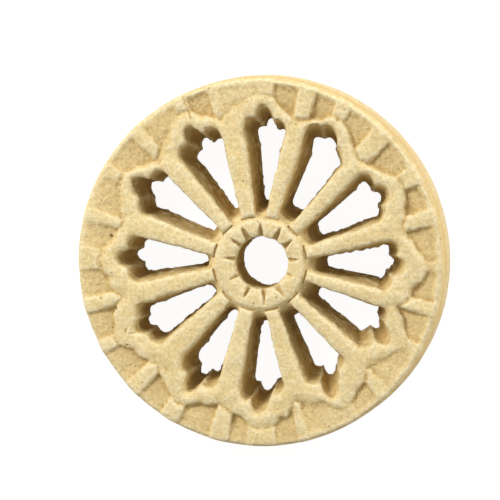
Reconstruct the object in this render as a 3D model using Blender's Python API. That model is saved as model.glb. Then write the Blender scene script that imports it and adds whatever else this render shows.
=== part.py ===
"""A small rose window carved in one piece from soft pale stone, lying on its back.

Metres and +Z up. The carved face looks up, +Y is the top of the window, and angles
run clockwise from it in degrees. The origin is in the middle of the flat back.
"""

import math
from collections import namedtuple

import bmesh
import bpy
from mathutils import Vector
from mathutils.geometry import delaunay_2d_cdt

# The disc
FRONT_RADIUS = 0.0785
BACK_FLARE = 0.0004
THICKNESS = 0.024
EDGE_BEVEL = 0.0008
BACK_BEVEL = 0.0006

# The carver's centre, from which all but the disc is measured, off the disc's own
PATTERN_SHIFT = (0.0002, -0.0005)

# The openings and the raised band round their heads
BAYS = 12
RIM_WIDTH = 0.0140
CUSP_DROP = 0.0055
CUSP_REACH = 0.0042
LOBE_DROP = 0.0062
LOBE_REACH = 0.0075
CORNER_DROP = 0.0082
SPRING_DROP = 0.0130
APEX_POINT = 1.35
BAND_WIDTH = 0.0065
WAIST_PLACE = 0.55
SHOULDER_DROP = 0.0055
VALLEY_DROP = 0.0095
EDGE_ROUND = 0.0014
HEAD_DRAFT = 0.0076
HEAD_SOFTENING = 0.35
HEAD_NARROWING = 0.28
SPRING_DRAFT = 0.0030
SPRING_LEAST = 0.0018
ROOT_DRAFT = 0.0042
ROOT_SIDE_DRAFT = 0.0009
HEAD_SIDE_DRAFT = 0.0028
ROOT_CORNER = 0.0018
BAND_LEAST = 0.0024
CREST_REACH = 0.0039
BAND_SLOPE = 0.0010

# The spokes between the openings
SPOKE_ROOT_WIDTH = 0.0058
SPOKE_HEAD_WIDTH = 0.0085

# The hub: a ring of blocks round a hole, and the groove between it and the spokes
HOLE_RADIUS = 0.0112
HOLE_SHIFT = (0.0006, 0.0004)
HUB_RING_WIDTH = 0.0082
HUB_DOME = 0.0004
NOTCH_LENGTH = 0.0064
NOTCH_WIDTH = 0.0026
NOTCH_DEPTH = 0.0026
NOTCH_FLOOR = 0.35
HOLE_ROUND = 0.0009
HUB_ROUND = 0.0008
GROOVE_WIDTH = 0.0009
GROOVE_DEPTH = 0.0016
COLLAR_WIDTH = 0.0012
COLLAR_DEPTH = 0.0034

# The rim: sunk panels between raised ribs
PANEL_DEPTH = 0.0018
PANEL_SLOPE = 0.0011
BAND_GROOVE = 0.0006
RIB_ROUND = 0.00012
PANEL_BRINK = 0.0008

# How finely the curves are faceted
SIDE_STEPS = 4
LOBE_STEPS = 6
APEX_STEPS = 6
ROOT_STEPS = 4
PANEL_STEPS = 4
WALL_STEPS = 3

STONE_COLOUR = (0.80, 0.64, 0.37, 1.0)
STONE_ROUGHNESS = 0.9

MM = 0.001

# A worn edge of an opening: shares of EDGE_ROUND into the stone, and below the front
EDGE_BRINK = 0.9
EDGE_STEPS = ((0.33, 0.33), (1.0, 0.10))

# A spoke's squared end: shares of EDGE_ROUND outwards, of the half width, then of
# EDGE_ROUND below the front for the row and for its two feet
END_STEPS = ((0.0, 0.80, 0.6, 1.25), (0.6, 0.62, 0.1, 1.5))
CROWN_STEPS = 5

# Where the carver's hand left each opening: millimetres clockwise and outwards of the
# usual place of the point named, then the band's height over the apex, its shoulders
# (degrees off the opening's axis, millimetres out), and how far the wall slopes in
Bay = namedtuple(
    "Bay",
    "left_corner left_lobe left_cusp apex right_cusp right_lobe right_corner "
    "band left_shoulder right_shoulder draft",
)
CARVED_BAYS = (
    Bay((3.0, 3.2), (2.3, 4.0), (2.4, 3.0), (1.6, 3.3), (1.5, 1.8), (0.9, 2.9), (0.7, 2.5),
        1.1, (-10.0, 1.9), (9.3, 1.3), 0.78),
    Bay((-1.3, 4.6), (-1.6, 5.2), (-1.5, 4.9), (-1.5, 1.6), (-1.3, 2.1), (-0.7, -0.5), (-0.6, -1.0),
        -0.5, (-7.5, 1.3), (7.9, -0.5), 0.87),
    Bay((-1.7, 1.2), (-1.3, 1.7), (-0.6, 0.8), (0.2, -1.1), (0.1, -0.3), (-0.3, -0.6), (-0.7, -0.6),
        -0.6, (-7.5, -0.0), (10.5, 0.8), 0.99),
    Bay((-0.2, 1.3), (0.0, 1.4), (0.4, -0.2), (0.3, -1.9), (0.7, -1.9), (0.1, -1.8), (0.1, -1.7),
        0.7, (-8.7, 1.1), (10.8, 1.1), 1.18),
    Bay((-0.8, 0.1), (-1.5, -0.7), (-1.5, -0.6), (0.4, 0.1), (-1.6, -0.2), (-1.4, -1.0), (-1.6, -0.3),
        0.5, (-8.4, 1.6), (6.1, 0.8), 1.17),
    Bay((-1.0, -2.7), (-2.1, -3.9), (-2.4, -2.9), (0.5, 0.3), (-1.5, -2.4), (-2.2, -2.1), (-2.7, -1.4),
        -0.1, (-10.6, 2.7), (6.5, -0.2), 1.10),
    Bay((-0.1, -2.3), (-1.2, -3.3), (-0.9, -2.7), (0.3, -0.1), (-0.3, -1.0), (-1.0, 0.7), (-2.0, 0.7),
        -0.1, (-10.6, 1.2), (7.0, 1.4), 1.05),
    Bay((1.1, -0.6), (0.3, -1.0), (0.3, -2.0), (-0.3, -0.4), (-0.8, -1.6), (-1.6, -1.4), (-2.1, -1.0),
        -1.2, (-8.6, 0.2), (7.5, 1.8), 0.85),
    Bay((1.7, -1.3), (1.4, -1.4), (2.3, -1.3), (1.9, -2.8), (1.1, -1.4), (0.7, -1.3), (0.3, -1.4),
        -0.2, (-6.9, 1.5), (10.8, 1.8), 0.45),
    Bay((1.8, -1.2), (1.1, -1.7), (1.6, -2.0), (1.5, -1.8), (1.2, -1.4), (1.1, -1.0), (0.9, -1.0),
        -1.5, (-9.0, 0.5), (8.5, -0.8), 0.78),
    Bay((2.5, -0.7), (1.8, -0.9), (1.5, 0.2), (2.8, 1.3), (2.4, 0.3), (2.6, 0.8), (2.7, 0.7),
        -1.1, (-9.3, -0.7), (8.0, 0.6), 0.67),
    Bay((2.4, 1.5), (1.9, 1.5), (2.1, 1.3), (1.8, 1.7), (1.6, 1.4), (1.7, 2.9), (2.6, 2.9),
        1.3, (-8.6, 0.8), (9.0, 1.9), 0.90),
)

# The spoke after each opening: degrees off its even place at the hub, at the head and
# at the valley beyond it, millimetres that this valley lies further out, and its width
Spoke = namedtuple("Spoke", "root_turn head_turn valley_turn valley width")
CARVED_SPOKES = (
    Spoke(-1.2, 0.3, -0.4, 1.6, 0.92),
    Spoke(0.1, -1.0, -1.1, -0.1, 0.84),
    Spoke(0.8, -0.3, -0.2, 0.8, 0.94),
    Spoke(-0.8, -0.1, 1.3, -0.3, 0.84),
    Spoke(-0.6, -1.3, -0.6, 1.6, 0.92),
    Spoke(0.2, -1.4, 0.9, -2.2, 1.06),
    Spoke(0.8, -0.5, 0.6, 0.4, 1.08),
    Spoke(0.6, 0.3, 0.9, -0.1, 1.12),
    Spoke(1.8, 0.6, 0.7, -0.6, 1.02),
    Spoke(2.2, 2.0, 0.2, -0.3, 1.06),
    Spoke(2.4, 2.4, 0.0, 0.3, 0.98),
    Spoke(1.7, 3.0, 0.1, 1.4, 1.10),
)

# Each rib of the rim: where it starts and ends in degrees, how much of the full
# height it stands, and how deep the panel after it is sunk
Rib = namedtuple("Rib", "start end height panel")
CARVED_RIBS = (
    Rib(0.0, 4.2, 1.0, 0.8),
    Rib(13.1, 18.2, 1.0, 1.0),
    Rib(26.2, 30.1, 1.0, 0.7),
    Rib(40.2, 46.4, 1.0, 0.75),
    Rib(57.2, 62.5, 1.0, 1.0),
    Rib(71.8, 76.5, 1.0, 0.7),
    Rib(88.6, 91.6, 0.6, 0.8),
    Rib(102.0, 105.9, 1.0, 0.8),
    Rib(116.2, 119.0, 0.8, 0.4),
    Rib(133.6, 137.4, 0.9, 0.7),
    Rib(146.3, 149.8, 0.6, 0.35),
    Rib(164.1, 167.0, 1.0, 0.6),
    Rib(175.1, 183.9, 0.9, 0.8),
    Rib(190.6, 196.1, 1.0, 0.8),
    Rib(207.9, 213.2, 1.0, 0.7),
    Rib(223.1, 227.9, 1.0, 0.7),
    Rib(240.0, 243.5, 0.9, 0.8),
    Rib(253.7, 257.9, 1.0, 0.6),
    Rib(267.6, 274.3, 0.8, 0.4),
    Rib(283.4, 287.2, 1.0, 0.3),
    Rib(298.9, 302.7, 0.7, 0.4),
    Rib(314.4, 318.4, 0.9, 0.3),
    Rib(331.5, 334.9, 1.0, 0.7),
    Rib(343.2, 346.2, 0.8, 0.3),
)

# The joints between the hub's blocks: where each lies in degrees, and its width and
# depth as shares of the usual
Notch = namedtuple("Notch", "angle width depth")
CARVED_NOTCHES = (
    Notch(359.0, 1.3, 0.9),
    Notch(29.2, 1.0, 1.0),
    Notch(53.4, 0.9, 0.9),
    Notch(83.4, 0.7, 0.6),
    Notch(111.7, 0.5, 0.35),
    Notch(144.7, 1.3, 1.0),
    Notch(174.8, 0.8, 1.0),
    Notch(206.6, 0.6, 0.8),
    Notch(241.5, 0.6, 0.4),
    Notch(277.3, 0.8, 0.7),
    Notch(309.0, 0.9, 0.9),
    Notch(331.9, 1.5, 0.8),
)

BAY_TURN = 360.0 / BAYS
APEX_RADIUS = FRONT_RADIUS - RIM_WIDTH
HUB_RADIUS = HOLE_RADIUS + HUB_RING_WIDTH
ROOT_RADIUS = HUB_RADIUS + GROOVE_WIDTH + COLLAR_WIDTH
SPRING_RADIUS = APEX_RADIUS - SPRING_DROP
OUTLINE_POINTS = 2 * SIDE_STEPS + 2 * (LOBE_STEPS + 1) + APEX_STEPS - 1


def carved(kind, index):
    """The hand-carved values of one of the repeated features."""
    return kind[index % len(kind)]


def at(angle, radius, height=0.0):
    """The point at a clockwise angle from +Y, a radius and a height."""
    turn = math.radians(angle)
    return Vector((radius * math.sin(turn), radius * math.cos(turn), height))


def angle_of(point):
    return math.degrees(math.atan2(point[0], point[1])) % 360.0


def disc_at(angle, radius, height=0.0):
    """The point of a circle round the disc's centre, seen from the carver's centre."""
    shift = Vector((PATTERN_SHIFT[0], PATTERN_SHIFT[1], 0.0))
    along = at(angle, 1.0)
    ahead = along.dot(shift)
    reach = math.sqrt(ahead ** 2 + radius ** 2 - shift.length_squared) - ahead
    return at(angle, reach, height)


def arch(start, top, end, steps, point=1.0):
    """Points of the arch from start over top to end, without its ends: a half ellipse,
    or one drawn to a point."""
    middle = (start + end) / 2
    points = []
    for step in range(1, steps):
        turn = math.pi * step / steps
        rise = (top - middle) * math.sin(turn) ** point
        points.append(middle + (start - middle) * math.cos(turn) + rise)
    return points


def curve_through(places, steps):
    """Points of a smooth curve through all the places but the first and the last."""
    points = []
    for before, start, end, after in zip(places, places[1:], places[2:], places[3:]):
        for step in range(steps):
            t = step / steps
            points.append(
                0.5 * (
                    2 * start
                    + (end - before) * t
                    + (2 * before - 5 * start + 4 * end - after) * t ** 2
                    + (3 * start - before - 3 * end + after) * t ** 3
                )
            )
    points.append(places[-2])
    return points


def spoke_edge(index, side, radius, depth=0.0):
    """The point on one side of a spoke at a distance from the centre."""
    spoke = carved(CARVED_SPOKES, index)
    even = (index + 0.5) * BAY_TURN
    share = (radius - ROOT_RADIUS) / (SPRING_RADIUS - ROOT_RADIUS)
    turn = even + spoke.root_turn + (spoke.head_turn - spoke.root_turn) * share
    width = SPOKE_ROOT_WIDTH + (SPOKE_HEAD_WIDTH - SPOKE_ROOT_WIDTH) * share
    draft = ROOT_SIDE_DRAFT + (HEAD_SIDE_DRAFT - ROOT_SIDE_DRAFT) * share
    half = spoke.width * width / 2 + draft * depth
    across = at(turn + 90.0, 1.0)
    return at(turn, math.sqrt(max(radius ** 2 - half ** 2, 0.0))) + across * half * side


def bay_point(index, across, out, carving, depth=0.0):
    """A point of an opening's head, moved as it was carved, at a share of the depth."""
    axis = index * BAY_TURN
    bay = carved(CARVED_BAYS, index)
    soft = 1.0 - HEAD_SOFTENING * depth
    middle = APEX_RADIUS - HEAD_DRAFT * bay.draft * depth
    radial = middle - (APEX_RADIUS - out) * soft + carving[1] * MM * soft
    lateral = across * (1.0 - HEAD_NARROWING * depth) + carving[0] * MM
    return at(axis, radial) + at(axis + 90.0, lateral)


def bay_outline(index, depth):
    """One opening's outline, clockwise from its left root, at a share of the depth."""
    bay = carved(CARVED_BAYS, index)
    root = ROOT_RADIUS + ROOT_DRAFT * depth
    corner = root + ROOT_CORNER
    corner_out = APEX_RADIUS - CORNER_DROP
    corner_turn = math.radians(BAY_TURN / 2) - math.asin(SPOKE_HEAD_WIDTH / 2 / corner_out)
    corner_reach = corner_out * math.sin(corner_turn)

    def head_point(side, reach, drop, carving):
        return bay_point(index, side * reach, APEX_RADIUS - drop, carving, depth)

    corner_drop = CORNER_DROP + corner_out * (1 - math.cos(corner_turn))
    left_corner = head_point(-1, corner_reach, corner_drop, bay.left_corner)
    right_corner = head_point(1, corner_reach, corner_drop, bay.right_corner)
    nearest = min(left_corner.length, right_corner.length)
    spring = min(SPRING_RADIUS - SPRING_DRAFT * bay.draft * depth, nearest - SPRING_LEAST)
    left_side = []
    right_side = []
    for step in range(SIDE_STEPS + 1):
        radius = corner + (spring - corner) * step / SIDE_STEPS
        left_side.append(spoke_edge(index - 1, 1.0, radius, depth))
        right_side.append(spoke_edge(index, -1.0, radius, depth))
    left_lobe = [
        left_side[-2],
        left_side[-1],
        left_corner,
        head_point(-1, LOBE_REACH, LOBE_DROP, bay.left_lobe),
        head_point(-1, CUSP_REACH, CUSP_DROP, bay.left_cusp),
    ]
    right_lobe = [
        right_side[-2],
        right_side[-1],
        right_corner,
        head_point(1, LOBE_REACH, LOBE_DROP, bay.right_lobe),
        head_point(1, CUSP_REACH, CUSP_DROP, bay.right_cusp),
    ]
    apex = head_point(0, 0.0, 0.0, bay.apex)
    for lobe in (left_lobe, right_lobe):
        lobe.append(2 * lobe[-1] - lobe[-2])
    left = curve_through(left_lobe, LOBE_STEPS // 3)
    right = curve_through(right_lobe, LOBE_STEPS // 3)
    points = left_side[:-1] + left
    points += arch(left[-1], apex, right[-1], APEX_STEPS, APEX_POINT)
    points += right[::-1] + right_side[-2::-1]
    points += arch(right_side[0], at(index * BAY_TURN, root), left_side[0], ROOT_STEPS)
    return points


def bump(angle, start, top, end):
    """A radius that swells from start over top to end, each an (angle, radius)."""
    share = (angle - start[0]) / (end[0] - start[0])
    peak = (top[0] - start[0]) / (end[0] - start[0])
    rise = top[1] - start[1] - (end[1] - start[1]) * peak
    away = (peak - share) / peak if share < peak else (share - peak) / (1 - peak)
    return start[1] + (end[1] - start[1]) * share + rise * max(1 - away ** 2, 0.0) ** 0.6


def valley(index):
    """Where the bands of two neighbouring openings part, beyond a spoke's end."""
    spoke = carved(CARVED_SPOKES, index)
    radius = APEX_RADIUS + BAND_WIDTH - VALLEY_DROP + spoke.valley * MM
    return ((index + 0.5) * BAY_TURN + spoke.valley_turn, radius)


def band_radius(angle):
    """The radius of the band's outer foot in one direction."""
    angle = angle % 360.0
    if angle >= valley(BAYS - 1)[0]:
        angle -= 360.0
    index = 0
    while angle >= valley(index)[0]:
        index += 1
    bay = carved(CARVED_BAYS, index)
    axis = index * BAY_TURN
    usual = APEX_RADIUS + BAND_WIDTH
    shoulders = []
    waists = []
    for side, lobe, cusp, shoulder in (
        (-1, bay.left_lobe, bay.left_cusp, bay.left_shoulder),
        (1, bay.right_lobe, bay.right_cusp, bay.right_shoulder),
    ):
        turn = axis + shoulder[0]
        at_lobe = bay_point(index, side * LOBE_REACH, APEX_RADIUS - LOBE_DROP, lobe)
        radius = max(usual - SHOULDER_DROP + shoulder[1] * MM, at_lobe.length + BAND_LEAST)
        shoulders.append((turn, radius))
        at_cusp = bay_point(index, side * CUSP_REACH, APEX_RADIUS - CUSP_DROP, cusp)
        off_axis = (angle_of(at_cusp) - axis + 180.0) % 360.0 - 180.0
        waist = axis + off_axis + (shoulder[0] - off_axis) * WAIST_PLACE
        over_cusp = at_cusp.length + BAND_WIDTH
        waists.append((waist, radius + (over_cusp - radius) * 0.4))
    over_apex = bay_point(index, 0.0, APEX_RADIUS, bay.apex)
    turn = (angle_of(over_apex) - axis + 180.0) % 360.0 - 180.0
    apex = (axis + turn, usual + bay.band * MM)
    if angle < waists[0][0]:
        return bump(angle, valley(index - 1), shoulders[0], waists[0])
    if angle < waists[1][0]:
        return bump(angle, waists[0], apex, waists[1])
    return bump(angle, waists[1], shoulders[1], valley(index))


def rim_columns():
    """Angles round the rim, each with the depth of the surface there below the front."""
    columns = []
    for index, rib in enumerate(CARVED_RIBS):
        before = CARVED_RIBS[index - 1]
        after = carved(CARVED_RIBS, index + 1)
        slope = math.degrees(PANEL_SLOPE / FRONT_RADIUS)
        sunk = PANEL_DEPTH * rib.panel
        crest = (1 - rib.height) * PANEL_DEPTH * (before.panel + rib.panel) / 2
        first = rib.end + slope
        last = (after.start - rib.end) % 360.0 + rib.end - slope
        columns.append((rib.start, crest + RIB_ROUND))
        columns.append(((rib.start + rib.end) / 2, crest))
        columns.append((rib.end, crest + RIB_ROUND))
        for step in range(PANEL_STEPS):
            columns.append((first + (last - first) * step / (PANEL_STEPS - 1), sunk))
    return columns


class Face:
    """A face of the stone, drawn as lines and then filled between them."""

    def __init__(self):
        self.points = []
        self.edges = []

    def line(self, points, closed=False):
        first = len(self.points)
        self.points += points
        last = len(self.points)
        self.edges += [(number, number + 1) for number in range(first, last - 1)]
        if closed:
            self.edges.append((last - 1, first))
        return list(range(first, last))

    def fill(self, bm, holes):
        """Triangles between the lines; returns the vertex of each drawn point."""
        flat = [Vector((point[0], point[1])) / MM for point in self.points]
        corners, _, faces, kept, _, _ = delaunay_2d_cdt(flat, self.edges, [], 0, 0.004)
        made = []
        vertex_of = {}
        for corner, sources in zip(corners, kept):
            place = Vector((corner[0], corner[1])) * MM
            if sources:
                height = self.points[sources[0]][2]
            else:
                nearest = min(self.points, key=lambda point: (point.xy - place).length_squared)
                height = nearest[2]
            vertex = bm.verts.new((place.x, place.y, height))
            made.append(vertex)
            for source in sources:
                vertex_of[source] = vertex
        for face in faces:
            middle = sum((made[number].co.xy for number in face), Vector((0.0, 0.0))) / len(face)
            if not any(inside(middle, hole) for hole in holes):
                bm.faces.new([made[number] for number in face])
        return vertex_of


def inside(point, loop):
    """Whether a point lies within a closed loop."""
    crossed = False
    for number, end in enumerate(loop):
        start = loop[number - 1]
        if (start[1] > point[1]) != (end[1] > point[1]):
            share = (point[1] - start[1]) / (end[1] - start[1])
            if point[0] < start[0] + (end[0] - start[0]) * share:
                crossed = not crossed
    return crossed


def moved_into_stone(path, distance):
    """The path with each point moved away from the opening, square to its outline."""
    moved = []
    for number, point in enumerate(path):
        after = (path[min(number + 1, len(path) - 1)] - point).normalized()
        before = (point - path[max(number - 1, 0)]).normalized()
        if number == 0:
            before = after
        if number == len(path) - 1:
            after = before
        along = (before + after).normalized()
        outward = Vector((-along.y, along.x, 0.0))
        mitre = max(abs(along.dot(after)), 0.6)
        moved.append(point + outward * distance / mitre)
    return moved


def raised(points, depth):
    """The points at a depth below the front."""
    return [Vector((point.x, point.y, THICKNESS - depth)) for point in points]


def draw_openings(front):
    """The openings' rounded edges; returns their outlines and their points' numbers."""
    outlines = []
    numbers = []
    straight = OUTLINE_POINTS
    for index in range(BAYS):
        outline = bay_outline(index, 0.0)
        edge = raised(outline, EDGE_ROUND * EDGE_BRINK)
        for number in range(straight, len(edge)):
            edge[number].z = THICKNESS - COLLAR_DEPTH
        for number in (0, straight - 1):
            edge[number].z = THICKNESS - (COLLAR_DEPTH + EDGE_ROUND) / 2
        outlines.append(outline)
        numbers.append(front.line(edge, closed=True))
        for share, depth in EDGE_STEPS:
            ring = moved_into_stone(outline[:straight], EDGE_ROUND * share)
            front.line(raised(ring, EDGE_ROUND * depth))
    return outlines, numbers


def draw_spokes(front):
    """The crown line of each spoke, from its squared end to its valley."""
    start = HUB_RADIUS + GROOVE_WIDTH
    for index in range(BAYS):
        spoke = carved(CARVED_SPOKES, index)
        turn = (index + 0.5) * BAY_TURN + spoke.root_turn
        half = spoke.width * SPOKE_ROOT_WIDTH / 2
        across = at(turn + 90.0, 1.0)
        for ahead, share, depth, foot in END_STEPS:
            middle = at(turn, start + EDGE_ROUND * ahead)
            end = [middle + across * half * share * side for side in (-1.0, -0.5, 0.0, 0.5, 1.0)]
            front.line(raised(end, EDGE_ROUND * depth))
            feet = [middle + across * half * side for side in (-1.0, 1.0)]
            for one in raised(feet, EDGE_ROUND * foot):
                front.line([one])
        crown = []
        first = start + EDGE_ROUND
        last = valley(index)[1] - CREST_REACH
        for step in range(CROWN_STEPS + 1):
            radius = first + (last - first) * step / CROWN_STEPS
            edges = [spoke_edge(index, side, radius) for side in (-1.0, 1.0)]
            crown.append((edges[0] + edges[1]) / 2)
        front.line(raised(crown, 0.0))


def draw_bands(front, outlines):
    """The crest of the band over each opening's head."""
    first = SIDE_STEPS + LOBE_STEPS // 3
    last = OUTLINE_POINTS - first
    for outline in outlines:
        crest = []
        for point in outline[first:last]:
            angle = angle_of(point)
            foot = band_radius(angle)
            crest.append(at(angle, max((point.length + foot) / 2, foot - CREST_REACH)))
        front.line(raised(crest, 0.0))


def draw_rim(front):
    """Ribs and panels, from the band's foot to the disc's edge; returns the edge."""
    columns = rim_columns()
    shoulder = []
    groove = []
    foot = []
    field = []
    brink = []
    edge = []
    for angle, depth in columns:
        radius = band_radius(angle)
        outer = disc_at(angle, FRONT_RADIUS - EDGE_BEVEL).length
        shoulder.append(at(angle, radius - BAND_SLOPE, THICKNESS - BAND_GROOVE / 2))
        groove.append(at(angle, radius, THICKNESS - max(depth, BAND_GROOVE)))
        foot.append(at(angle, radius + PANEL_SLOPE, THICKNESS - depth))
        field.append(at(angle, (radius + PANEL_SLOPE + outer) / 2, THICKNESS - depth))
        brink.append(at(angle, outer - PANEL_BRINK, THICKNESS - depth * 0.92))
        edge.append(at(angle, outer, THICKNESS - depth * 0.85 - EDGE_BEVEL * 0.25))
    for row in (shoulder, groove, foot, field, brink):
        front.line(row, closed=True)
    for number in range(len(columns)):
        front.line([foot[number], field[number], brink[number]])
    return edge, front.line(edge, closed=True)


def draw_hub(front):
    """The ring of blocks with its joints; returns the numbers of the hole's edge."""
    centre = Vector((HOLE_SHIFT[0], HOLE_SHIFT[1], 0.0))
    tip = HOLE_RADIUS + NOTCH_LENGTH
    angles = []
    spread = math.degrees(NOTCH_WIDTH / 2 / HOLE_RADIUS)
    for index, notch in enumerate(CARVED_NOTCHES):
        wide = spread * notch.width
        following = carved(CARVED_NOTCHES, index + 1)
        gap = (following.angle - notch.angle) % 360.0 - wide - spread * following.width
        angles.append((notch.angle - wide, 0.0, notch))
        angles.append((notch.angle, 1.0, notch))
        angles.append((notch.angle + wide, 0.0, notch))
        for share in (0.3, 0.7):
            angles.append((notch.angle + wide + gap * share, -1.0, notch))
    rows = (
        (HOLE_RADIUS, HOLE_ROUND, 1.0),
        (HOLE_RADIUS + HOLE_ROUND * 0.8, HOLE_ROUND * 0.28, 1.0),
        (HOLE_RADIUS + NOTCH_LENGTH * 0.55, 0.0, 0.45),
        (tip, 0.0, 0.05),
    )
    hole = []
    for radius, drop, open_share in rows:
        row = []
        for angle, sunk, notch in angles:
            turn = angle
            if sunk == 0.0:
                turn = notch.angle + (angle - notch.angle) * open_share
            dome = HUB_DOME * ((radius - HOLE_RADIUS) / HUB_RING_WIDTH - 0.5) ** 2 * 4
            depth = drop + dome
            if sunk > 0.0 and radius < tip:
                depth += NOTCH_DEPTH * notch.depth * (NOTCH_FLOOR + (1 - NOTCH_FLOOR) * open_share)
            row.append(at(turn, radius, THICKNESS - depth) + centre)
        made = front.line(row, closed=True)
        hole = hole or (row, made)
    for share, depth in ((0.0, HUB_DOME), (0.35, GROOVE_DEPTH * 0.6), (1.0, GROOVE_DEPTH)):
        radius = HUB_RADIUS - HUB_ROUND + (GROOVE_WIDTH + HUB_ROUND / 2) * share
        ring = [at(angle, radius, THICKNESS - depth) for angle, _, _ in angles]
        front.line(ring, closed=True)
    return hole


def wall(bm, rows):
    """Quads between closed rows of vertices, each row as long as the first."""
    for upper, lower in zip(rows, rows[1:]):
        for number in range(len(upper)):
            bm.faces.new((upper[number - 1], upper[number], lower[number], lower[number - 1]))


def carve_rosette():
    """The whole stone as one closed mesh."""
    bm = bmesh.new()
    front = Face()
    outlines, opening_numbers = draw_openings(front)
    edge, edge_numbers = draw_rim(front)
    hole, hole_numbers = draw_hub(front)
    draw_spokes(front)
    draw_bands(front, outlines)
    vertex_of = front.fill(bm, outlines + [hole])

    back = Face()
    back_outlines = []
    back_numbers = []
    for index in range(BAYS):
        outline = bay_outline(index, 1.0)
        back_outlines.append(outline)
        back_numbers.append(back.line(outline, closed=True))
    back_rim = FRONT_RADIUS + BACK_FLARE
    back_edge = [disc_at(angle_of(point), back_rim - BACK_BEVEL) for point in edge]
    back_edge_numbers = back.line(back_edge, closed=True)
    back_hole = [Vector((point.x, point.y, 0.0)) for point in hole]
    back_hole_numbers = back.line(back_hole, closed=True)
    back_vertex_of = back.fill(bm, back_outlines + [back_hole])

    for index in range(BAYS):
        rows = [[vertex_of[number] for number in opening_numbers[index]]]
        for step in range(1, WALL_STEPS):
            depth = step / WALL_STEPS
            outline = bay_outline(index, depth)
            height = THICKNESS * (1 - depth)
            rows.append([bm.verts.new((point.x, point.y, height)) for point in outline])
        rows.append([back_vertex_of[number] for number in back_numbers[index]])
        wall(bm, rows)

    rows = [[vertex_of[number] for number in edge_numbers]]
    bevelled = []
    flared = []
    for point in edge:
        angle = angle_of(point)
        bevelled.append(bm.verts.new(disc_at(angle, FRONT_RADIUS, point.z - EDGE_BEVEL)))
        flared.append(bm.verts.new(disc_at(angle, back_rim, BACK_BEVEL)))
    rows += [bevelled, flared, [back_vertex_of[number] for number in back_edge_numbers]]
    wall(bm, rows)
    hole_top = [vertex_of[number] for number in hole_numbers]
    wall(bm, [hole_top, [back_vertex_of[number] for number in back_hole_numbers]])

    bmesh.ops.translate(bm, verts=bm.verts, vec=(PATTERN_SHIFT[0], PATTERN_SHIFT[1], 0.0))
    bmesh.ops.recalc_face_normals(bm, faces=bm.faces)
    bmesh.ops.triangulate(bm, faces=bm.faces)
    return bm


def stone_material():
    """Dry, pale, warm-yellow stone."""
    material = bpy.data.materials.new("soft_limestone")
    material.use_nodes = True
    shader = material.node_tree.nodes["Principled BSDF"]
    shader.inputs["Base Color"].default_value = STONE_COLOUR
    shader.inputs["Roughness"].default_value = STONE_ROUGHNESS
    shader.inputs["Metallic"].default_value = 0.0
    return material


def build():
    for old in list(bpy.data.objects):
        bpy.data.objects.remove(old, do_unlink=True)
    mesh = bpy.data.meshes.new("rosette")
    bm = carve_rosette()
    bm.to_mesh(mesh)
    bm.free()
    mesh.shade_smooth()
    mesh.set_sharp_from_angle(angle=math.radians(40.0))
    mesh.materials.append(stone_material())
    rosette = bpy.data.objects.new("rosette", mesh)
    bpy.context.scene.collection.objects.link(rosette)


build()
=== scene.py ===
"""A small rose window carved in soft pale stone, lying on its back on a pale floor.

Metres, +Z up out of the carved face, +Y towards the top of the window. Angles run
clockwise from +Y in degrees, as seen from the front.
"""

import math

import bpy
import numpy as np
from mathutils import Matrix, Vector


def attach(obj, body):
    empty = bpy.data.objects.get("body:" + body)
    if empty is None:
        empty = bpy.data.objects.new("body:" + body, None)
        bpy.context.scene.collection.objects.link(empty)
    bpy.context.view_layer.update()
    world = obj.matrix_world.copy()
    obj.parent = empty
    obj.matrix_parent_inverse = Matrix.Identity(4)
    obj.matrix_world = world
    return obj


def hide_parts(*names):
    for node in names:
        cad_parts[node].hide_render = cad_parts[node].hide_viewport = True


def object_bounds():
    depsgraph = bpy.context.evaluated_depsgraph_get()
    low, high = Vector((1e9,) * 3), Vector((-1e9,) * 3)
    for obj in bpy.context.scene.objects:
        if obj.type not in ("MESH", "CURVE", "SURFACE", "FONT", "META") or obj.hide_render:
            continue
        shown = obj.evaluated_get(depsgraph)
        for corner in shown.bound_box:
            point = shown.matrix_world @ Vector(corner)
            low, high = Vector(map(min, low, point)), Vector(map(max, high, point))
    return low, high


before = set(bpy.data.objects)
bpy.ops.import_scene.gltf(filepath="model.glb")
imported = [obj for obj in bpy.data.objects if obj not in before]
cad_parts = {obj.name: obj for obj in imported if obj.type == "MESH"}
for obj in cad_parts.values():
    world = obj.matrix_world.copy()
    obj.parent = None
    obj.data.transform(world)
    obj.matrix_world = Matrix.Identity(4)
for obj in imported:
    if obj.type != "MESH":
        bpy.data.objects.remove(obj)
cad_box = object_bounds()

MM = 0.001
FRONT = round(cad_box[1][2], 4)
PROUD = 0.4 * MM

# The pattern's own centre, and the middle of the hub's hole
CARVED_CENTRE = (0.0002, -0.0005)
HUB_HOLE = (0.0008, -0.0001)
HUB_HOLE_RADIUS = 0.0112

# The fine mesh: its cell, the rounds of smoothing all over, the share of triangles kept
# off the front, and how many there are in the end
VOXEL = 0.0004
FIRST_SMOOTHING = 4
HIDDEN_SHARE = 0.46
TRIANGLES = 195000

# Joints between the hub's blocks: degrees, width at the hole and length in millimetres,
# and how deep the chisel went
HUB_JOINTS = (
    (359.0, 2.8, 7.6, 4.6),
    (29.5, 3.8, 7.4, 5.0),
    (53.7, 3.8, 6.6, 5.0),
    (83.5, 2.4, 6.2, 3.6),
    (111.5, 1.8, 5.4, 2.6),
    (144.4, 3.2, 7.4, 4.4),
    (174.7, 3.0, 7.4, 4.6),
    (206.9, 2.6, 7.4, 4.2),
    (241.8, 2.0, 6.6, 3.2),
    (277.2, 2.8, 6.6, 3.6),
    (308.6, 3.2, 6.8, 4.0),
    (331.6, 4.4, 7.4, 4.2),
)
JOINT_TIP = 0.15
JOINT_RISE = 0.1
JOINT_OVERLAP = 1.2

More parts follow.
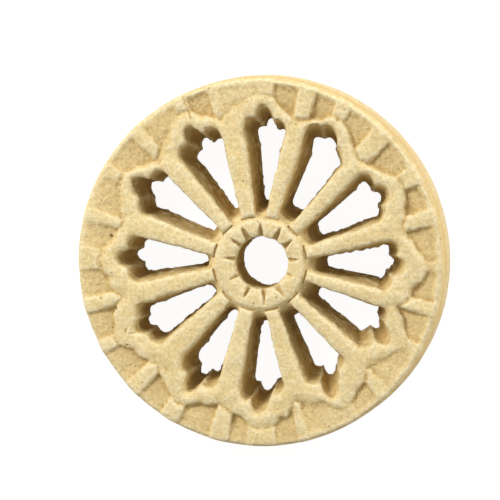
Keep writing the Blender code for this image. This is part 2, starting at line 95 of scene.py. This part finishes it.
# The groove across each spoke's inner end, in millimetres and degrees
HUB_GROOVE = 20.1
GROOVE_HALF_WIDTH = 0.5
GROOVE_DEPTHS = (0.4, 1.2, 1.2, 1.0, 1.0, 0.9, 0.8, 0.9, 0.7, 0.9, 0.8, 0.6)
GROOVE_STEPS = (-7.5, -3.5, 0.0, 3.5, 7.5)

# Strokes of the tool on the front: places in degrees and millimetres from the centre,
# then the stroke's half width and depth in millimetres. A negative depth raises stone.
STROKES = (
    (((279.7, 65.0), (279.8, 65.2)), 0.8, 1.5),
    (((343.6, 72.5), (344.6, 77.6)), 0.5, -0.35),
    (((181.0, 72.0), (182.4, 77.6)), 0.5, -0.35),
    (((334.4, 68.5), (334.9, 77.8)), 0.7, 0.6),
    (((240.5, 61.6), (241.6, 64.2)), 0.4, 0.5),
    (((243.5, 64.5), (242.6, 65.4)), 0.4, 0.5),
    (((252.0, 65.0), (252.3, 65.3)), 0.6, 0.8),
    (((257.0, 70.2), (257.3, 70.4)), 0.6, 0.7),
    (((246.0, 69.5), (246.3, 69.8)), 0.5, 0.6),
    (((238.0, 67.3), (238.4, 67.5)), 0.6, 0.7),
)
STROKE_SIDES = (0.2, 1.2)

# How much of a plain edge was left outside the panels, by direction
PLAIN_EDGE = (
    (0.0, 0.9), (130.0, 0.9), (150.0, 0.4), (200.0, 0.2),
    (250.0, 0.1), (300.0, 0.4), (330.0, 0.8), (360.0, 0.9),
)

# How much deeper the panels were cut: all over, at the bands' feet, and by direction
CUT_ALL_OVER = 1.15
CUT_AT_BANDS = 1.05
DEEPER_CUT = ((0.0, 1.0), (282.0, 1.0), (296.0, 1.6), (332.0, 1.5), (344.0, 1.0), (360.0, 1.0))

# How softly the ribs and panels are worn, by direction
RIB_SOFTNESS = ((0.0, 0.75), (75.0, 0.75), (105.0, 1.0), (300.0, 1.0), (340.0, 0.8), (360.0, 0.75))

# Zones of the surface have soft borders, each from where it starts to where it is whole.
# Heights over the floor
OFF_BACK = (0.0004, 0.0012)
ABOVE_BACK_EDGES = (0.004, 0.012)
UP_THE_WALLS = (0.013, 0.0222)
ABOVE_SPARE = (0.014, 0.018)
BAND_HEIGHTS = (0.015, 0.018)
FACE_HEIGHTS = (0.017, 0.019)
RIB_HEIGHTS = (0.018, 0.019)
PANEL_SHADE_HEIGHTS = (0.0185, 0.0195)
PECKED_HEIGHTS = (0.019, 0.020)
SCOOPED_HEIGHTS = (0.0195, 0.0205)
SHADED_FACE = (0.0237, 0.0218)

# Depths under the front
PECKED_DEPTHS = (0.0004, 0.0010)
PANEL_SHADE_DEPTHS = (0.0003, 0.0009)

# Distances from the disc's axis
SPOKES_FROM = (0.020, 0.022)
HEADS_FROM = (0.050, 0.057)
SHALLOW_PANELS = (0.064, 0.074)
PLAIN_EDGE_FROM = (0.0738, 0.0772)
RIM_FROM = (0.0755, 0.0765)
QUIET_RIM = (0.0755, 0.0775)
SIDE_FROM = (0.0768, 0.0776)
PANEL_SHADE_ENDS = (0.0770, 0.0780)
SCOOP_ENDS = (0.0774, 0.0780)
QUIETER = 0.65

# Distances outside the openings
SCOOPED_FROM = (2.0 * MM, 3.4 * MM)
RIBS_FROM = (2.5 * MM, 3.6 * MM)
PANEL_SHADE_FROM = (2.6 * MM, 3.8 * MM)

# How far a face's normal is turned upwards
UPWARD = (0.35, 0.7)
LEVEL = (0.5, 0.8)

# Where the openings' walls are looked for, and how far they reach at least
WALL_LOWEST = 0.017
WALL_HIGHEST = 0.0205
WALLS_END = 0.074
LEAST_REACH = 0.0600 - 3.0 * MM
HALF_DEGREES = 720

# Rounds of smoothing in each zone
SMOOTHING = (("bands", 24), ("heads", 36), ("ribs", 12), ("side", 16))

# Unevenness: its name, size, octaves and strength, its zone and the level that stays
UNEVENNESS = (
    ("hand_wobble", 0.009, 2, 0.0011, "worked", 0.5),
    ("worn_ripple", 0.0030, 2, 0.00032, "worked", 0.5),
    ("pecked_stone", 0.0009, 2, 0.0005, "panels", 0.55),
    ("sawn_and_filed", 0.0026, 3, 0.0007, "walls", 0.5),
    ("broken_edge", 0.0036, 3, 0.0026, "back_edges", 0.5),
)

# Wear and painted light: rounds of levelling, how much of its own place a vertex keeps in each, and how
# far it stands out of the level where the rubbed pale and painted highlight, or a hollow's painted shade,
# is full
LEVELLING = 8
OWN_PLACE = 0.4
FULL_WEAR_AND_SHADE = 0.0006

# The stone's tones, painted shade and a painted highlight among them
PALE_STONE = (0.815, 0.675, 0.385, 1)
WARM_STONE = (0.785, 0.625, 0.32, 1)
OCHRE_CLOUDS = (0.70, 0.55, 0.26, 1)
# Painted shade of the sunk panels
PAINTED_PANEL_SHADE = (0.68, 0.48, 0.21, 1)
# Painted shade where the face lies lower than the front
PAINTED_SUNKEN_SHADE = (0.64, 0.47, 0.20, 1)
# Painted shade down the openings' walls
PAINTED_WALL_SHADE = (0.53, 0.36, 0.12, 1)
# Painted shade in the hollows
PAINTED_HOLLOW_SHADE = (0.46, 0.30, 0.10, 1)
# Rubbed pale of raised places, partly wear and partly a painted highlight
RUBBED_EDGES_AND_HIGHLIGHT = (0.82, 0.74, 0.50, 1)
DARK_GRAINS = (0.48, 0.34, 0.13, 1)
# Darker colour in the pores
PORE_DARK = (0.34, 0.20, 0.07, 1)

# The floor: what the camera sees of it, and the warm light that it throws on the walls
FLOOR_GLOW = 0.93
FLOOR_WHITE = (1.0, 0.997, 0.99, 1)
FLOOR_SEEN = (0.15, 0.148, 0.145, 1)
FLOOR_THROWN = (0.60, 0.46, 0.26, 1)

# The camera leans off the disc's axis by the tilt, towards a direction from the top
VIEW_TILT = 10.75
VIEW_TOWARD = 63.0
VIEW_DISTANCE = 1.6
VIEW_FIELD = 0.2118
VIEW_TARGET = Vector((-0.0038, 0.0055, FRONT))
SENSOR = 36.0


# Working on a mesh

def only(piece):
    """Leaves this piece alone selected, and active."""
    bpy.ops.object.select_all(action="DESELECT")
    piece.select_set(True)
    bpy.context.view_layer.objects.active = piece


def modify(piece, kind, **settings):
    """Adds one modifier to a piece and applies it."""
    only(piece)
    modifier = piece.modifiers.new(kind.lower(), kind)
    for name, value in settings.items():
        setattr(modifier, name, value)
    bpy.ops.object.modifier_apply(modifier=modifier.name)


def places(piece):
    """Where the vertices are, one row each."""
    flat = np.empty(len(piece.data.vertices) * 3, dtype=np.float32)
    piece.data.vertices.foreach_get("co", flat)
    return flat.reshape(-1, 3)


def normals(piece):
    """Which way the surface faces at the vertices, one row each."""
    flat = np.empty(len(piece.data.vertices) * 3, dtype=np.float32)
    piece.data.vertex_normals.foreach_get("vector", flat)
    return flat.reshape(-1, 3)


def move(piece, spots):
    """Puts the vertices where the rows say."""
    piece.data.vertices.foreach_set("co", np.ascontiguousarray(spots, dtype=np.float32).ravel())
    piece.data.update()


def from_axis(spots):
    """How far each vertex is from the disc's axis."""
    return np.hypot(spots[:, 0], spots[:, 1])


def direction(spots):
    """The direction of each vertex, in degrees clockwise from the top."""
    return np.degrees(np.arctan2(spots[:, 0], spots[:, 1])) % 360.0


def by_direction(turn, table):
    """The table's value for each direction, in between its rows too."""
    return np.interp(turn, [angle for angle, _ in table], [value for _, value in table])


def ramp(values, low, high):
    """A soft step from 0 at low to 1 at high."""
    share = np.clip((values - low) / (high - low), 0.0, 1.0)
    return share * share * (3.0 - 2.0 * share)


def weigh(piece, name, weights):
    """A vertex group with one weight for each vertex, in steps of a twentieth."""
    zone = piece.vertex_groups.new(name=name)
    steps = np.round(weights * 20.0).astype(int)
    for step in range(1, 21):
        chosen = np.nonzero(steps == step)[0].tolist()
        if chosen:
            zone.add(chosen, step / 20.0, "REPLACE")


def mark(piece, name, values):
    """Keeps one number for each vertex, for the material to read."""
    layer = piece.data.attributes.new(name, "FLOAT", "POINT")
    layer.data.foreach_set("value", values.astype(np.float32))


def roughen(piece, name, size, octaves, strength, zone, middle):
    """Moves the surface in and out by clouds of one size, where the zone allows."""
    texture = bpy.data.textures.new(name, "CLOUDS")
    texture.noise_scale = size
    texture.noise_depth = octaves
    modify(
        piece,
        "DISPLACE",
        texture=texture,
        texture_coords="LOCAL",
        strength=strength,
        mid_level=middle,
        vertex_group=zone,
        direction="NORMAL",
    )


def hold_level(piece):
    """Keeps the mesh on the floor, and hardly above the front."""
    spots = places(piece)
    spots[:, 2] = np.clip(spots[:, 2], 0.0, FRONT + PROUD)
    move(piece, spots)


# The carved stone

def merged_copy(solid, name):
    """A new piece with the solid's shape and its loose triangles joined."""
    piece = bpy.data.objects.new(name, solid.data.copy())
    bpy.context.scene.collection.objects.link(piece)
    only(piece)
    bpy.ops.object.mode_set(mode="EDIT")
    bpy.ops.mesh.select_all(action="SELECT")
    bpy.ops.mesh.remove_doubles(threshold=0.000002)
    bpy.ops.object.mode_set(mode="OBJECT")
    return piece


def joint_cutter(angle, width, length, depth):
    """A long cone lying on the hub's face, wide end in the hole."""
    turn = math.radians(angle)
    inner = HUB_HOLE_RADIUS - JOINT_OVERLAP * MM
    middle = inner + (length + JOINT_OVERLAP) * MM / 2
    bpy.ops.object.select_all(action="DESELECT")
    bpy.ops.mesh.primitive_cone_add(
        vertices=12,
        radius1=width * MM / 2,
        radius2=JOINT_TIP * MM,
        depth=(length + JOINT_OVERLAP) * MM,
        location=(
            HUB_HOLE[0] + middle * math.sin(turn),
            HUB_HOLE[1] + middle * math.cos(turn),
            FRONT + JOINT_RISE * MM,
        ),
        rotation=(-math.pi / 2, 0.0, -turn),
    )
    cone = bpy.context.object
    cone.scale = (1.0, 2.0 * (depth + JOINT_RISE) / width, 1.0)
    bpy.ops.object.transform_apply(location=True, rotation=True, scale=True)
    return cone


def cut_hub_joints(stone):
    """Cuts the wedge-shaped joints between the hub's blocks."""
    cones = [joint_cutter(*joint) for joint in HUB_JOINTS]
    bpy.ops.object.select_all(action="DESELECT")
    for cone in cones:
        cone.select_set(True)
    bpy.context.view_layer.objects.active = cones[0]
    bpy.ops.object.join()
    cutter = bpy.context.object
    modify(stone, "BOOLEAN", operation="DIFFERENCE", object=cutter, solver="EXACT")
    bpy.data.objects.remove(cutter, do_unlink=True)


def past_openings(spots):
    """How far each vertex lies outside the opening in its direction."""
    radius = from_axis(spots)
    bins = (direction(spots) * 2.0).astype(int) % HALF_DEGREES
    walls = (spots[:, 2] < WALL_HIGHEST) & (spots[:, 2] > WALL_LOWEST) & (radius < WALLS_END)
    reach = np.full(HALF_DEGREES, LEAST_REACH)
    np.maximum.at(reach, bins[walls], radius[walls])
    reach = np.maximum(reach, np.maximum(np.roll(reach, 1), np.roll(reach, -1)))
    return radius - reach[bins]


def scoop_panels(stone):
    """Panels deepest at the band's foot, running out to a plain edge where it was left."""
    spots = places(stone)
    radius = from_axis(spots)
    turn = direction(spots)
    outside = ramp(past_openings(spots), *SCOOPED_FROM) * ramp(spots[:, 2], *SCOOPED_HEIGHTS)
    margin = by_direction(turn, PLAIN_EDGE)
    deeper = CUT_ALL_OVER + CUT_AT_BANDS * (1.0 - ramp(radius, *SHALLOW_PANELS))
    deeper *= by_direction(turn, DEEPER_CUT)
    gain = deeper * (1.0 - margin * ramp(radius, *PLAIN_EDGE_FROM))
    on_face = 1.0 - ramp(radius, *SCOOP_ENDS)
    sunk = np.maximum(FRONT - spots[:, 2], 0.0)
    spots[:, 2] -= sunk * (gain - 1.0) * outside * on_face
    move(stone, spots)


def mark_zones(stone):
    """Vertex groups for the parts of the surface that were worked in their own way."""
    spots = places(stone)
    upwards = normals(stone)[:, 2]
    radius = from_axis(spots)
    height = spots[:, 2]
    off_back = ramp(height, *OFF_BACK)
    outside = ramp(past_openings(spots), *RIBS_FROM)
    tooled = ramp(radius, *SPOKES_FROM) * (1.0 - outside) * ramp(height, *BAND_HEIGHTS)
    softness = by_direction(direction(spots), RIB_SOFTNESS)
    pecked = ramp(upwards, *UPWARD) * ramp(FRONT - height, *PECKED_DEPTHS) * outside
    inside = (1.0 - ramp(radius, *RIM_FROM)) * (1.0 - ramp(np.abs(upwards), *LEVEL))
    weigh(stone, "bands", tooled)
    weigh(stone, "heads", tooled * ramp(radius, *HEADS_FROM))
    weigh(stone, "ribs", outside * ramp(height, *RIB_HEIGHTS) * softness)
    weigh(stone, "side", ramp(radius, *SIDE_FROM))
    weigh(stone, "worked", off_back * (1.0 - QUIETER * ramp(radius, *QUIET_RIM)))
    weigh(stone, "panels", pecked * ramp(height, *PECKED_HEIGHTS))
    weigh(stone, "walls", inside * off_back)
    weigh(stone, "back_edges", inside * (1.0 - ramp(height, *ABOVE_BACK_EDGES)) * off_back)


def stroke(spots, line, half_width, depth):
    """Presses the front down along a line of points, softly at its sides."""
    ends = [
        (
            CARVED_CENTRE[0] + radius * MM * math.sin(math.radians(angle)),
            CARVED_CENTRE[1] + radius * MM * math.cos(math.radians(angle)),
        )
        for angle, radius in line
    ]
    nearest = np.full(len(spots), 1.0)
    for (ax, ay), (bx, by) in zip(ends, ends[1:]):
        along = np.array((bx - ax, by - ay))
        share = ((spots[:, 0] - ax) * along[0] + (spots[:, 1] - ay) * along[1]) / (along @ along)
        share = np.clip(share, 0.0, 1.0)
        away = np.hypot(spots[:, 0] - ax - share * along[0], spots[:, 1] - ay - share * along[1])
        nearest = np.minimum(nearest, away)
    flat, end = STROKE_SIDES
    pressed = 1.0 - ramp(nearest, half_width * MM * flat, half_width * MM * end)
    spots[:, 2] -= pressed * ramp(spots[:, 2], *FACE_HEIGHTS) * depth * MM


def press_strokes(stone):
    """The grooves at the spokes' inner ends, then the single strokes and pits."""
    spots = places(stone)
    for spoke, depth in enumerate(GROOVE_DEPTHS):
        turn = (spoke + 0.5) * 360.0 / len(GROOVE_DEPTHS)
        groove = [(turn + step, HUB_GROOVE) for step in GROOVE_STEPS]
        stroke(spots, groove, GROOVE_HALF_WIDTH, depth)
    for line, half_width, depth in STROKES:
        stroke(spots, line, half_width, depth)
    move(stone, spots)


def carve_stone():
    """The whole carving, as a fine mesh worked from the solid."""
    stone = merged_copy(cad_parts["rosette"], "rosette_stone")
    cut_hub_joints(stone)
    modify(stone, "REMESH", mode="VOXEL", voxel_size=VOXEL)
    modify(stone, "SMOOTH", factor=0.5, iterations=FIRST_SMOOTHING)
    scoop_panels(stone)
    mark_zones(stone)
    for zone, rounds in SMOOTHING:
        modify(stone, "SMOOTH", factor=0.5, iterations=rounds, vertex_group=zone)
    for unevenness in UNEVENNESS:
        roughen(stone, *unevenness)
    press_strokes(stone)
    hold_level(stone)
    return stone


def thin(stone):
    """Fewer triangles: first off the walls, side and back, then a little all over."""
    weigh(stone, "spare", 1.0 - ramp(places(stone)[:, 2], *ABOVE_SPARE))
    modify(stone, "TRIANGULATE")
    modify(stone, "DECIMATE", ratio=HIDDEN_SHARE, vertex_group="spare")
    modify(stone, "DECIMATE", ratio=min(TRIANGLES / len(stone.data.polygons), 1.0))
    hold_level(stone)


def standing_out(stone):
    """How much each vertex stands out of its surroundings, 0.5 where it is level."""
    spots = places(stone).astype(np.float64)
    ends = np.empty(len(stone.data.edges) * 2, dtype=np.int32)
    stone.data.edges.foreach_get("vertices", ends)
    ends = ends.reshape(-1, 2)
    count = np.zeros(len(spots))
    np.add.at(count, ends[:, 0], 1.0)
    np.add.at(count, ends[:, 1], 1.0)
    level = spots.copy()
    for _ in range(LEVELLING):
        total = np.zeros_like(level)
        np.add.at(total, ends[:, 0], level[ends[:, 1]])
        np.add.at(total, ends[:, 1], level[ends[:, 0]])
        level = level * OWN_PLACE + (1.0 - OWN_PLACE) * total / np.maximum(count, 1.0)[:, None]
    out = ((spots - level) * normals(stone)).sum(axis=1)
    return np.clip(0.5 + out / FULL_WEAR_AND_SHADE, 0.0, 1.0)


def mark_tones(stone):
    """What the material reads: wear with a painted highlight and painted shade in the hollows, painted
    shade down the walls, and painted shade in the sunk panels.
    """
    spots = places(stone).astype(np.float64)
    radius = from_axis(spots)
    height = spots[:, 2]
    # Painted shade: the sunk panels are darker the deeper they lie under the front
    outside = ramp(past_openings(spots), *PANEL_SHADE_FROM) * ramp(height, *PANEL_SHADE_HEIGHTS)
    panel_shade_mask = outside * ramp(FRONT - height, *PANEL_SHADE_DEPTHS) * (1.0 - ramp(radius, *PANEL_SHADE_ENDS))
    # Raised places get a rubbed pale with a painted highlight; hollows get painted shade
    mark(stone, "wear_and_painted_light", standing_out(stone))
    # Painted shade, darker further down the openings' walls
    mark(stone, "inner", (1.0 - ramp(radius, *RIM_FROM)) * (1.0 - ramp(height, *UP_THE_WALLS)))
    mark(stone, "panel_shade", panel_shade_mask)


# Materials

def node(tree, kind, inputs=None, **settings):
    """One shader node, its plain settings and the values or links of its inputs."""
    made = tree.nodes.new(kind)
    for name, value in settings.items():
        setattr(made, name, value)
    for name, value in (inputs or {}).items():
        if isinstance(value, bpy.types.NodeSocket):
            tree.links.new(value, made.inputs[name])
        else:
            made.inputs[name].default_value = value
    return made


def group(name, inputs, outputs):
    """A shader node group; returns it with its input and output nodes."""
    tree = bpy.data.node_groups.new(name, "ShaderNodeTree")
    for label, kind, value in inputs:
        socket = tree.interface.new_socket(label, in_out="INPUT", socket_type=kind)
        if value is not None:
            socket.default_value = value
    for label in outputs:
        tree.interface.new_socket(label, in_out="OUTPUT", socket_type="NodeSocketFloat")
    return tree, tree.nodes.new("NodeGroupInput"), tree.nodes.new("NodeGroupOutput")


def use(tree, effect, inputs):
    """Places a shared effect in a material, with its own values."""
    return node(tree, "ShaderNodeGroup", inputs, node_tree=effect)


def attribute(tree, name):
    """One of the numbers that the vertices keep."""
    return node(tree, "ShaderNodeAttribute", attribute_name=name).outputs["Fac"]


def maths(tree, how, first, second):
    """The result of one sum."""
    return node(tree, "ShaderNodeMath", {0: first, 1: second}, operation=how).outputs[0]


def spread(tree, value, low, high, to_low=0.0, to_high=1.0):
    """A value spread from one range to another and held at its ends."""
    return node(
        tree,
        "ShaderNodeMapRange",
        {"Value": value, "From Min": low, "From Max": high, "To Min": to_low, "To Max": to_high},
        interpolation_type="SMOOTHSTEP",
    ).outputs[0]


def noise(tree, place, scale, detail, roughness=0.5):
    """A noise texture's node."""
    return node(
        tree,
        "ShaderNodeTexNoise",
        {"Vector": place, "Scale": scale, "Detail": detail, "Roughness": roughness},
    )


def blend_colour(tree, share, first, second):
    """Two colours mixed by a share of the second."""
    mixed = node(tree, "ShaderNodeMix", {0: share}, data_type="RGBA", clamp_factor=True)
    for socket, value in ((mixed.inputs[6], first), (mixed.inputs[7], second)):
        if isinstance(value, bpy.types.NodeSocket):
            tree.links.new(value, socket)
        else:
            socket.default_value = value
    return mixed.outputs[2]


def stone_grain():
    """Fine grain: a mask of darker and lighter grains and the height they stand."""
    tree, given, result = group(
        "stone_grain",
        [("Place", "NodeSocketVector", None), ("Grains a metre", "NodeSocketFloat", 900.0)],
        ["Grain", "Height"],
    )
    fine = noise(tree, given.outputs[0], given.outputs[1], 3.0, 0.65)
    larger = maths(tree, "MULTIPLY", given.outputs[1], 0.37)
    coarse = noise(tree, given.outputs[0], larger, 2.0)
    both = maths(tree, "ADD", fine.outputs[0], coarse.outputs[0])
    half = maths(tree, "MULTIPLY", both, 0.5)
    tree.links.new(spread(tree, half, 0.36, 0.64), result.inputs[0])
    tree.links.new(half, result.inputs[1])
    return tree


def stone_pores():
    """Small open pores, in patches: their mask, 1 in a pore, and the height."""
    tree, given, result = group(
        "stone_pores",
        [
            ("Place", "NodeSocketVector", None),
            ("Cells a metre", "NodeSocketFloat", 420.0),
            ("Pore size", "NodeSocketFloat", 0.24),
        ],
        ["Pores", "Height"],
    )
    bent = noise(tree, given.outputs[0], 500.0, 2.0)
    warp = node(
        tree,
        "ShaderNodeVectorMath",
        {0: bent.outputs[1], 1: (MM, MM, MM)},
        operation="MULTIPLY",
    )
    place = node(tree, "ShaderNodeVectorMath", {0: given.outputs[0], 1: warp.outputs[0]}, operation="ADD")
    cell = node(
        tree,
        "ShaderNodeTexVoronoi",
        {"Vector": place.outputs[0], "Scale": given.outputs[1], "Randomness": 1.0},
    )
    chance = node(tree, "ShaderNodeSeparateColor", {"Color": cell.outputs["Color"]})
    size = maths(tree, "MULTIPLY", spread(tree, chance.outputs[0], 0.90, 1.0), given.outputs[2])
    inside = maths(tree, "SUBTRACT", size, cell.outputs["Distance"])
    pore = spread(tree, inside, 0.0, 0.08)
    tree.links.new(pore, result.inputs[0])
    tree.links.new(maths(tree, "SUBTRACT", 1.0, pore), result.inputs[1])
    return tree


def stone_stain():
    """Slow changes of tone through the block."""
    tree, given, result = group(
        "stone_stain",
        [("Place", "NodeSocketVector", None), ("Size", "NodeSocketFloat", 45.0)],
        ["Stain", "Cloudiness"],
    )
    slow = noise(tree, given.outputs[0], given.outputs[1], 4.0, 0.6)
    larger = maths(tree, "MULTIPLY", given.outputs[1], 4.5)
    quick = noise(tree, given.outputs[0], larger, 4.0, 0.65)
    tree.links.new(spread(tree, slow.outputs[0], 0.35, 0.65), result.inputs[0])
    tree.links.new(spread(tree, quick.outputs[0], 0.32, 0.68), result.inputs[1])
    return tree


def limestone(grain, pores, stain):
    """Dry soft limestone: pale where rubbed, partly wear and partly a painted highlight, with warmer,
    darker painted shade in the hollows, the sunk panels, the low face and down the walls.
    """
    material = bpy.data.materials.new("soft_limestone")
    material.use_nodes = True
    tree = material.node_tree
    shader = tree.nodes["Principled BSDF"]
    place = node(tree, "ShaderNodeTexCoord").outputs["Object"]
    height = node(tree, "ShaderNodeSeparateXYZ", {0: place}).outputs[2]
    wear_and_painted_light = attribute(tree, "wear_and_painted_light")
    grained = use(tree, grain, {"Place": place, "Grains a metre": 1700.0})
    small = use(tree, pores, {"Place": place, "Cells a metre": 620.0, "Pore size": 0.26})
    stained = use(tree, stain, {"Place": place, "Size": 42.0})

    colour = blend_colour(tree, stained.outputs[0], PALE_STONE, WARM_STONE)
    layers = (
        (maths(tree, "MULTIPLY", stained.outputs[1], 0.30), OCHRE_CLOUDS),
        # Painted shade in the sunk panels
        (maths(tree, "MULTIPLY", attribute(tree, "panel_shade"), 0.38), PAINTED_PANEL_SHADE),
        # Painted shade, darker the lower the face lies under the front
        (spread(tree, height, *SHADED_FACE, 0.0, 0.45), PAINTED_SUNKEN_SHADE),
        # Painted shade down the openings' walls
        (maths(tree, "MULTIPLY", attribute(tree, "inner"), 0.62), PAINTED_WALL_SHADE),
        # Painted shade in the hollows
        (spread(tree, wear_and_painted_light, 0.45, 0.14, 0.0, 0.75), PAINTED_HOLLOW_SHADE),
        # Rubbed pale on raised places, partly wear and partly a painted highlight
        (spread(tree, wear_and_painted_light, 0.56, 0.84, 0.0, 0.6), RUBBED_EDGES_AND_HIGHLIGHT),
        (spread(tree, grained.outputs[0], 0.0, 1.0, 0.42, 0.0), DARK_GRAINS),
        # Darker colour in the pores
        (maths(tree, "MULTIPLY", small.outputs[0], 0.7), PORE_DARK),
    )
    for share, tone in layers:
        colour = blend_colour(tree, share, colour, tone)
    tree.links.new(colour, shader.inputs["Base Color"])

    dull = spread(tree, grained.outputs[0], 0.0, 1.0, 0.95, 0.85)
    tree.links.new(dull, shader.inputs["Roughness"])
    shader.inputs["Specular IOR Level"].default_value = 0.25

    grain_bump = node(
        tree,
        "ShaderNodeBump",
        {"Height": grained.outputs[1], "Strength": 0.9, "Distance": 0.0007},
    )
    pore_bump = node(
        tree,
        "ShaderNodeBump",
        {"Height": small.outputs[1], "Strength": 0.8, "Distance": 0.0005, "Normal": grain_bump.outputs[0]},
    )
    tree.links.new(pore_bump.outputs[0], shader.inputs["Normal"])
    return material


def pale_floor():
    """A pale floor, kept bright where it is seen through the openings."""
    material = bpy.data.materials.new("pale_floor")
    material.use_nodes = True
    tree = material.node_tree
    shader = tree.nodes["Principled BSDF"]
    shader.inputs["Roughness"].default_value = 0.8
    shader.inputs["Emission Color"].default_value = FLOOR_WHITE
    seen = node(tree, "ShaderNodeLightPath").outputs["Is Camera Ray"]
    tree.links.new(maths(tree, "MULTIPLY", seen, FLOOR_GLOW), shader.inputs["Emission Strength"])
    tree.links.new(blend_colour(tree, seen, FLOOR_THROWN, FLOOR_SEEN), shader.inputs["Base Color"])
    return material


# Studio

def lay_floor():
    """A wide floor just under the stone."""
    bpy.ops.object.select_all(action="DESELECT")
    bpy.ops.mesh.primitive_plane_add(size=6.0, location=(0.0, 0.0, -0.2 * MM))
    floor = bpy.context.object
    floor.name = "studio_floor"
    bpy.ops.object.transform_apply(location=True, rotation=True, scale=True)
    floor.data.materials.append(pale_floor())


def aim(thing, target):
    """Turns a light or camera to a target, with the window's top upwards."""
    away = (thing.location - target).normalized()
    across = Vector((0.0, 1.0, 0.0)).cross(away).normalized()
    upward = away.cross(across)
    turned = Matrix((across, upward, away)).transposed().to_4x4()
    turned.translation = thing.location
    thing.matrix_world = turned


def add_light(name, place, size, power, colour=(1.0, 1.0, 1.0)):
    """A square soft light turned to the stone."""
    lamp = bpy.data.lights.new(name, "AREA")
    lamp.size = size
    lamp.energy = power
    lamp.color = colour
    thing = bpy.data.objects.new(name, lamp)
    bpy.context.scene.collection.objects.link(thing)
    thing.location = place
    aim(thing, Vector((0.0, 0.0, FRONT)))


def add_camera():
    """The photograph's viewing angle."""
    tilt = math.radians(VIEW_TILT)
    toward = math.radians(VIEW_TOWARD)
    away = Vector(
        (math.sin(toward) * math.sin(tilt), math.cos(toward) * math.sin(tilt), math.cos(tilt))
    )
    camera = bpy.data.cameras.new("photo_view")
    camera.sensor_width = SENSOR
    camera.lens = SENSOR * VIEW_DISTANCE / VIEW_FIELD
    thing = bpy.data.objects.new("photo_view", camera)
    bpy.context.scene.collection.objects.link(thing)
    thing.location = VIEW_TARGET + away * VIEW_DISTANCE
    aim(thing, VIEW_TARGET)
    bpy.context.scene.camera = thing


def light_studio():
    """A key light from the upper left, two fills and a pale room."""
    add_light("key", Vector((-0.78, 0.83, 0.86)), 0.55, 19.0, (1.0, 0.985, 0.95))
    add_light("front_fill", Vector((0.25, 0.10, 1.9)), 1.2, 3.0)
    add_light("side_fill", Vector((1.33, 0.70, 0.12)), 0.6, 22.5)
    world = bpy.data.worlds.new("pale_room")
    world.use_nodes = True
    background = world.node_tree.nodes["Background"]
    background.inputs["Color"].default_value = (1.0, 0.995, 0.985, 1)
    background.inputs["Strength"].default_value = 0.46
    bpy.context.scene.world = world
    bpy.context.scene.view_settings.view_transform = "Standard"
    bpy.context.scene.view_settings.look = "None"


# The scene

def build_scene():
    """Camera, studio and the one piece, which stands for the solid."""
    add_camera()
    light_studio()
    lay_floor()
    stone = carve_stone()
    thin(stone)
    stone.data.materials.clear()
    stone.data.materials.append(limestone(stone_grain(), stone_pores(), stone_stain()))
    only(stone)
    bpy.ops.object.shade_smooth()
    mark_tones(stone)
    stone.vertex_groups.clear()
    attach(stone, "root")
    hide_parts("rosette")


build_scene()
